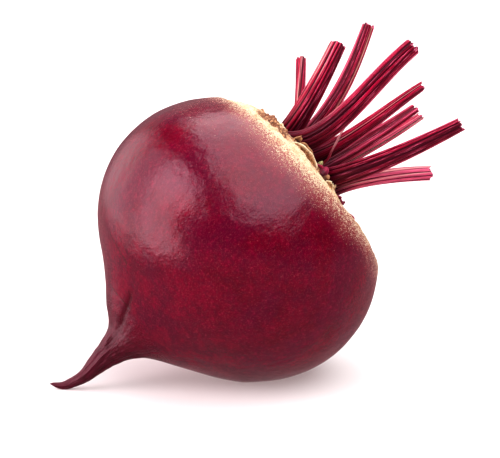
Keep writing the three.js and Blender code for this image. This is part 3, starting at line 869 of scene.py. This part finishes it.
def make_crown_pieces():
    papery = paper_material("withered_leaf_base", CORK_TAN, CORK_LIGHT, CORK_BROWN)
    brown = paper_material("withered_leaf_brown", CORK_BROWN, CORK_TAN, SCAR_DARK)
    crimson = paper_material("leaf_bud", BUD_CRIMSON, BUD_CRIMSON_TIP, LEAF_MAROON)
    strand_skin = paper_material("bud_strand", STRAND_RED, STRAND_TIP, LEAF_CRIMSON)
    green = paper_material("leaf_bud_green", BUD_GREEN, BUD_GREEN_TIP, BUD_GREEN_DARK)
    # papery strips along the near side of the crown, one behind the other
    flake("crown_strip_1", [(43, 23.8), (52, 22.7), (61, 22.2), (70, 22.4)], papery, seed=11,
          height=2.3, lean=20, curl=40, thick=0.7, shape=0.4, jag=0.12)
    flake("crown_strip_2", [(45, 22.2), (54, 21.2), (64, 20.8)], brown, seed=12,
          height=2.9, lean=5, thick=0.7, shape=0.45, jag=0.15)
    flake("crown_strip_3", [(40, 23.4), (43, 22.4), (46, 21.8)], brown, seed=14,
          height=3.0, lean=10, curl=20, shape=0.6, jag=0.2)
    # buds and stubs at the foot of the lowest stalks
    bud("crown_bud_green", (69, 21.4), green, seed=21, height=3.0, width=1.9, lean=25, toward=60)
    bud("crown_bud_crimson", (75, 22.0), crimson, seed=22, height=3.0, width=3.6, lean=30, toward=75)
    flake("crown_stub_tan", [(79, 23.4), (85, 22.8), (90, 23.6)], papery, seed=23,
          height=2.7, lean=30, curl=35, thick=0.7, shape=0.6, jag=0.35)
    bud("crown_stub_tan_2", (90, 22.6), papery, seed=24, height=2.4, width=1.1, lean=55, toward=50, blunt=0.7)
    bud("crown_stub_brown", (79, 23.2), brown, seed=25, height=1.9, width=2.0, lean=30, toward=90)
    make_strand(strand_skin)
    make_leaf_bases(papery, brown, crimson)


# Leaf stalks

STALK_SIDES = 120
STALK_ROWS = 110
STALK_SEED = 700
RIB_TOP = 0.985
# What is drawn for each furrow: shift, depth, half width, drift; and the depth at which a furrow's painted
# shade is full
FURROW_SHIFT, FURROW_DEEP, FURROW_NARROW, FURROW_DRIFT = 0.28, (0.05, 0.17), (0.07, 0.13), 0.12
FURROW_DARKEST = 0.12
# How far ribs break off short or long at the cut, and how fast that fades down the stalk
BREAK_SHORT, BREAK_LONG, BREAK_FADES = -0.9, 0.45, 26
# The cut's floor: rings of [share of the way in, depth], its depth in the middle, and its roughness
CUT_RINGS = [(0.10, 0.0), (0.2, 0.45), (0.5, 0.7), (0.8, 0.5)]
CUT_MIDDLE, CUT_ROUGH = 0.4, 0.25

# How far up each stalk the painted shade at its foot fades out, as a share of its length
FOOT_SHADE = [0.50, 0.48, 0.42, 0.66, 0.50, 0.50, 0.48, 0.60, 0.42]
FOOT_SHADE_FROM = 0.10

# Stripes along each stalk, where the dark ones are partly painted shade and the pink and pale ones partly
# painted highlight: tone, turn about the stalk in degrees, half width in degrees, strength
STALK_STRIPES = [
    [("pale", 139, 8, 0.8), ("dark", 166, 9, 0.9), ("dark", 96, 10, 0.6), ("pink", 212, 14, 0.5)],
    [("pale", 86, 5, 0.7), ("pale", 114, 4, 0.6), ("pale", 64, 4, 0.5), ("dark", 178, 26, 0.85),
     ("tan", 218, 7, 0.7), ("dark", 250, 16, 0.7)],
    [("dark", 106, 26, 0.8), ("tan", 172, 9, 0.85), ("pink", 208, 12, 0.8), ("pink", 69, 7, 0.7),
     ("dark", 146, 8, 0.8)],
    [("pink", -18, 11, 0.4), ("pale", -28, 5, 0.35), ("dark", 28, 15, 0.95), ("dark", 80, 12, 0.85),
     ("pink", 118, 9, 0.6), ("dark", -92, 40, 0.6)],
    [("pink", -64, 8, 0.5), ("pale", -28, 4, 0.5), ("dark", 26, 18, 0.7), ("pink", 56, 6, 0.6),
     ("dark", -90, 10, 0.5)],
    [("dark", -76, 26, 0.9), ("pink", -38, 8, 0.7), ("dark", -6, 14, 0.8), ("pink", -122, 8, 0.6)],
    [("pink", -28, 80, 0.30), ("pale", -68, 12, 0.85), ("dark", -38, 6, 0.8), ("pale", 2, 12, 0.8)],
    [("dark", 28, 44, 0.85), ("pink", -40, 6, 0.6), ("dark", 84, 16, 0.7), ("pink", 104, 7, 0.6),
     ("dark", -142, 60, 0.7)],
    [("pink", 40, 120, 0.9), ("pale", -8, 14, 0.85), ("pale", 50, 5, 0.7), ("dark", 18, 5, 0.6),
     ("dark", 76, 5, 0.6)],
]


def bezier(points, t):
    a, b, c, d = [np.asarray(p, float) for p in points]
    t = np.asarray(t, float)[..., None]
    s = 1 - t
    place = s ** 3 * a + 3 * s * s * t * b + 3 * s * t * t * c + t ** 3 * d
    slope = 3 * s * s * (b - a) + 6 * s * t * (c - b) + 3 * t * t * (d - c)
    return place, slope / np.linalg.norm(slope, axis=-1, keepdims=True)


def stalk_frame(foot, bend_a, bend_b, cut, turn, t):
    """Middle of a stalk at shares of its length, and the ways along it, across it and out of its back."""
    start = (*foot, crown_height(*foot) - FOOT_SUNK)
    centre, along = bezier((start, bend_a, bend_b, cut), t)
    lean = np.array([cut[0] - foot[0], cut[1] - foot[1], 0.0])
    outward = unit(lean - along * (along @ lean)[:, None])
    c, s = math.cos(math.radians(turn)), math.sin(math.radians(turn))
    outward = outward * c + np.cross(along, outward) * s
    return centre, along, np.cross(outward, along), outward


def stalk_furrows(rng, t, a):
    """How deep the furrows cut in and how much rib is left; each furrow wanders a little."""
    cutting = np.zeros((len(t), len(a)))
    rib = np.ones_like(cutting)
    for k in range(RIB_COUNT):
        middle = (k + 0.5 + rng.uniform(-FURROW_SHIFT, FURROW_SHIFT)) * TAU / RIB_COUNT
        deep, narrow = rng.uniform(*FURROW_DEEP), rng.uniform(*FURROW_NARROW)
        drift = rng.uniform(-FURROW_DRIFT, FURROW_DRIFT)
        place = middle + drift * (t[:, None] - 0.5) + 0.03 * np.sin(5 * t[:, None] + middle * 3)
        distance = apart(a, place)
        cutting += deep * bump(distance, narrow)
        # the rib share that is left also sets the painted shade in the furrows
        rib = np.minimum(rib, 1 - min(deep / FURROW_DARKEST, 1) * bump(distance, narrow * 0.9))
    return cutting, rib


def stalk_points(rng, spec, t, a):
    """Rings of a stalk, rings of its cut's floor, its end points, its ribs and its length."""
    foot, bend_a, bend_b, cut, widths, turn = spec
    centre, along, across, outward = stalk_frame(foot, bend_a, bend_b, cut, turn, t)
    cutting, rib = stalk_furrows(rng, t, a)
    width = (widths[0] + (widths[1] - widths[0]) * t) * (1 + FOOT_FLARE * bump(t, FOOT_FLARE_LENGTH))
    channel = np.where(np.sin(a) < 0, 1 - CHANNEL * bump(np.cos(a), CHANNEL_SPREAD), 1.0)
    reach = (width / 2)[:, None] * (RIB_TOP - cutting)
    rings = swept(centre, across, outward, reach * np.cos(a), reach * STALK_FLATNESS * channel * np.sin(a))
    # a ragged cut: every rib breaks off at its own length
    teeth = RIB_COUNT * 2
    breaks = [rng.uniform(BREAK_SHORT, BREAK_LONG) for _ in range(teeth)]
    ragged = np.interp(a / TAU * teeth, np.arange(teeth + 1), breaks + breaks[:1])
    rings += (np.exp(-(1 - t) * BREAK_FADES)[:, None] * ragged)[..., None] * along[:, None]
    # the cut's floor is set back from its lip
    lip, middle, back = rings[-1], centre[-1], -along[-1]
    floor = np.array([lip + (middle - lip) * share + back * deep for share, deep in CUT_RINGS])
    rough = [rng.uniform(-CUT_ROUGH, CUT_ROUGH) for _ in range(len(CUT_RINGS) * len(a))]
    floor -= np.array(rough).reshape(*floor.shape[:2], 1) * back
    length = float(np.sum(np.linalg.norm(np.diff(centre, axis=0), axis=1)))
    return rings, floor, [centre[0], middle + back * CUT_MIDDLE], rib, length


def stripe_share(stripes, tone, angles):
    """How much of a tone the stripes give at angles round the stalk."""
    share = np.zeros_like(angles)
    for kind, where, spread, strength in stripes:
        if kind == tone:
            band = bump(apart(angles, math.radians(where)), math.radians(spread)) * strength
            share = np.maximum(share, band)
    return share


def make_stalk(number, spec, stripes, foot_shade):
    rng = random.Random(STALK_SEED + number)
    t = np.linspace(0, 1, STALK_ROWS)
    a = np.arange(STALK_SIDES) * TAU / STALK_SIDES
    rings, floor, ends, rib, length = stalk_points(rng, spec, t, a)
    points = np.concatenate([rings.reshape(-1, 3), floor.reshape(-1, 3), ends])
    rows = len(rings) + len(floor)
    faces = [face[::-1] for face in grid_faces(rows, STALK_SIDES)]
    material = stalk_material("stalk_skin_%d" % number)
    thing = mesh_object("leaf_stalk_fine_%d" % number, laid(points), faces, material)
    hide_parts("leaf_stalk_%d" % number)
    vector_attribute(thing, "place", points)
    angles = np.concatenate([np.tile(a, rows), [0, 0]])
    shares = np.concatenate([np.repeat(np.append(t, np.ones(len(floor))), STALK_SIDES), [0, 1]])
    # each stalk reads its own stretch of the noise
    run = np.stack([np.cos(angles), np.sin(angles), shares * length + number * 31.7], 1)
    vector_attribute(thing, "run", run)
    attribute(thing, "rib", np.concatenate([rib.ravel(), np.ones(floor[..., 0].size + 2)]))
    wobble = 0.10 * np.sin(3.1 * shares + number) + 0.05 * np.sin(9.0 * shares + 2 * number)
    for tone in ("dark", "pink", "pale", "tan"):
        attribute(thing, tone, stripe_share(stripes, tone, angles + wobble))
    # painted shade at the foot of the stalk
    attribute(thing, "base", 1 - ease(FOOT_SHADE_FROM, foot_shade, shares))
    on_cut = np.concatenate([np.zeros(rib.size), np.ones(floor[..., 0].size), [0, 1]])
    attribute(thing, "end", on_cut)


# Stage, light and camera

# The camera in millimetres, its fall in radians and its lens
CAMERA_FALL = math.radians(13)
CAMERA_AT = (-2.68, -781.4, 225.55)
LENS, SENSOR = 188.9, 36
SUBJECT = Vector((0, 0, 0.045))
FLOOR_HALF = 6.0
FLOOR_GREY, FLOOR_GLOW, FLOOR_GLOW_STRENGTH = (0.58, 0.57, 0.57, 1), (1, 0.80, 0.80, 1), 0.31
# What the skin mirrors where no softbox is: a rosy ground that fades into a dark room
GROUND_LIGHT, ROOM_LIGHT, MIRRORED_TINT = 0.35, 0.02, (1, 0.62, 0.66, 1)
GROUND_BELOW, ROOM_ABOVE = -0.15, 0.0

# The studio is turned this far from the picture's axes
STUDIO_TURN = math.radians(11)
WHITE, ROSY = (1.0, 1.0, 1.0), (1.0, 0.84, 0.88)
# Softboxes: name, axis they face along, spans to the right, away and up in metres from the object, radiance
# (1 is a white floor at full light) and tint
LEFT_WALL, WALL_HEIGHT = (-1.0, -1.0), (-0.30, 1.18)
PANELS = [
    ("softbox_left", "x", LEFT_WALL, (-0.84, 0.25), (0.45, 1.18), 5.2, ROSY),
    ("softbox_left_low", "x", LEFT_WALL, (-0.50, 0.25), (-0.30, 0.45), 4.2, ROSY),
    ("softbox_left_middle", "x", LEFT_WALL, (0.25, 1.1), WALL_HEIGHT, 1.6, ROSY),
    ("softbox_left_back", "x", LEFT_WALL, (1.1, 3.6), WALL_HEIGHT, 0.9, ROSY),
    ("softbox_top", "z", (-0.39, 1.6), (-2.4, 1.3), (1.2, 1.2), 3.2, WHITE),
    ("wall_behind", "y", (-2.5, 2.5), (2.7, 2.7), (0.0, 1.4), 0.25, WHITE),
]


def make_floor():
    corners = [(x * FLOOR_HALF, y * FLOOR_HALF, 0) for x, y in ((-1, -1), (1, -1), (1, 1), (-1, 1))]
    mesh = bpy.data.meshes.new("floor")
    mesh.from_pydata(corners, [], [(0, 1, 2, 3)])
    floor = bpy.data.objects.new("floor", mesh)
    bpy.context.scene.collection.objects.link(floor)
    n = Nodes("floor_white")
    mesh.materials.append(n.finish(FLOOR_GREY, 0.9))
    n.shader.inputs["Specular IOR Level"].default_value = 0.0
    n.shader.inputs["Emission Color"].default_value = FLOOR_GLOW
    n.shader.inputs["Emission Strength"].default_value = FLOOR_GLOW_STRENGTH
    # the skin mirrors the world's ground instead of the white floor, as in a cut-out photograph
    floor.visible_glossy = False


def make_world():
    world = bpy.data.worlds.new("studio")
    world.use_nodes = True
    tree = world.node_tree
    direction = tree.nodes.new("ShaderNodeTexCoord")
    split = tree.nodes.new("ShaderNodeSeparateXYZ")
    fade = tree.nodes.new("ShaderNodeMapRange")
    tree.links.new(direction.outputs["Generated"], split.inputs[0])
    tree.links.new(split.outputs[2], fade.inputs["Value"])
    ends = (GROUND_BELOW, ROOM_ABOVE, GROUND_LIGHT, ROOM_LIGHT)
    for socket, number in zip(("From Min", "From Max", "To Min", "To Max"), ends):
        fade.inputs[socket].default_value = number
    background = tree.nodes["Background"]
    background.inputs["Color"].default_value = MIRRORED_TINT
    tree.links.new(fade.outputs[0], background.inputs["Strength"])
    bpy.context.scene.world = world


def make_panel(name, facing, right, away, up, radiance, tint):
    spans = {"x": (away, up), "y": (right, up), "z": (right, away)}[facing]
    facing_turns = {"x": (math.pi / 2, 0, -math.pi / 2), "y": (math.pi / 2, 0, math.pi), "z": (0, 0, 0)}
    data = bpy.data.lights.new(name, "AREA")
    data.shape = "RECTANGLE"
    data.size, data.size_y = [abs(span[1] - span[0]) for span in spans]
    data.energy = radiance * math.pi * data.size * data.size_y
    data.color = tint
    lamp = bpy.data.objects.new(name, data)
    middle = [sum(span) / 2 for span in (right, away, up)]
    turn = Euler((0, 0, STUDIO_TURN)).to_matrix()
    lamp.location = turn @ Vector(middle) + SUBJECT
    lamp.rotation_euler = (turn @ Euler(facing_turns[facing]).to_matrix()).to_euler()
    bpy.context.scene.collection.objects.link(lamp)


def make_camera():
    data = bpy.data.cameras.new("camera")
    data.lens = LENS
    data.sensor_width = SENSOR
    data.clip_start, data.clip_end = 0.01, 30
    camera = bpy.data.objects.new("camera", data)
    camera.location = Vector(CAMERA_AT) * MM
    camera.rotation_euler = Euler((math.pi / 2 - CAMERA_FALL, 0, 0))
    bpy.context.scene.collection.objects.link(camera)
    bpy.context.scene.camera = camera


make_camera()
make_floor()
make_world()
for softbox in PANELS:
    make_panel(*softbox)
make_root()
make_crown_pieces()
for index, parts in enumerate(zip(STALKS, STALK_STRIPES, FOOT_SHADE)):
    make_stalk(index + 1, *parts)

bpy.context.scene.view_settings.view_transform = "Standard"
bpy.context.scene.view_settings.look = "Medium High Contrast"
